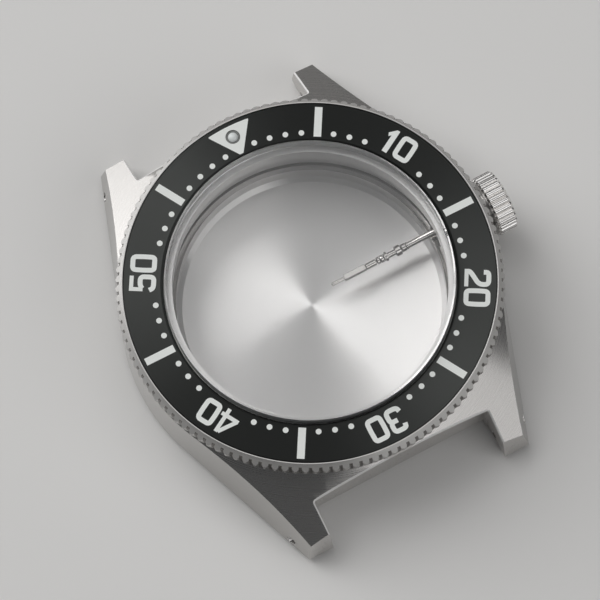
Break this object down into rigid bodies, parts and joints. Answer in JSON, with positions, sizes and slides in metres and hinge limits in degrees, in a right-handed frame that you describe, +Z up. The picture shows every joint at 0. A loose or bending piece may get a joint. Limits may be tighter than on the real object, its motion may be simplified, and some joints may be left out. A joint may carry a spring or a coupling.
{
  "type": "diver's watch case",
  "caption": "Empty steel diver's watch case: drilled lugs, turning bezel with black insert, flat crystal, screw back, fluted crown and uncut stem.",
  "frame": {"origin": "centre of the case back's flat outer face, on the case axis", "axes": "+Z up to the crystal, +X out through the crown at three o'clock, +Y to twelve o'clock"},
  "size_m": [0.043, 0.0468, 0.012],
  "materials": {
    "case_steel": "satin brushed top, polished flanks",
    "bezel_steel": "satin with a thin polished rim",
    "back_steel": "fine turned spiral inside, polished outside",
    "polished_steel": "polished",
    "spring_steel": "drawn wire and rolled strip",
    "black_insert": "black, circular brushed, off-white marks",
    "crystal_glass": "clear, polished, ground bevel",
    "bead_glass": "clear bead over a pale grey filling",
    "white_nylon": "moulded",
    "black_rubber": "matt",
    "clear_tape": "double sided tape"
  },
  "bodies": {
    "case": {"mid_case": "case_steel", "crystal": "crystal_glass", "crystal_gasket": "white_nylon", "bezel_wire": "spring_steel", "click_spring": "spring_steel", "crown_tube": "polished_steel", "tube_seal": "black_rubber"},
    "bezel": {"bezel": "bezel_steel", "bezel_insert": "black_insert", "insert_adhesive": "clear_tape", "lume_pip": "bead_glass"},
    "post_gaskets": {"post_gasket_inner": "black_rubber", "post_gasket_outer": "black_rubber"},
    "stem": {"crown_post": "polished_steel", "stem": "polished_steel", "crown_spring": "spring_steel"},
    "crown": {"crown": "polished_steel", "crown_gasket": "black_rubber", "crown_retainer": "polished_steel"},
    "back_gasket": {"case_back_gasket": "black_rubber"},
    "back": {"case_back": "back_steel"}
  },
  "joints": [
    {"name": "bezel_turn", "type": "hinge", "parent": "case", "child": "bezel", "pos_m": [0, 0, 0.0098], "axis": [0, 0, 1], "continuous": true},
    {"name": "crown_pull", "type": "slide", "parent": "case", "child": "post_gaskets", "axis": [1, 0, 0], "range_m": [0, 0.021]},
    {"name": "crown_turn", "type": "hinge", "parent": "post_gaskets", "child": "stem", "pos_m": [0.0217, 0, 0.0048], "axis": [1, 0, 0], "continuous": true},
    {"name": "crown_press", "type": "slide", "parent": "stem", "child": "crown", "axis": [-1, 0, 0], "range_m": [0, 0.00045], "stiffness_N_per_m": 800, "springref_m": -0.0005, "deforming": ["crown_spring"]},
    {"name": "back_lift", "type": "slide", "parent": "case", "child": "back_gasket", "axis": [0, 0, -1], "range_m": [0, 0.00405]},
    {"name": "back_turn", "type": "hinge", "parent": "back_gasket", "child": "back", "pos_m": [0, 0, 0.003], "axis": [0, 0, -1], "range_deg": [0, 2880]}
  ],
  "couplings": [
    {"joint": "back_lift", "follows": "back_turn", "m_per_rad": 0.000079577}
  ]
}
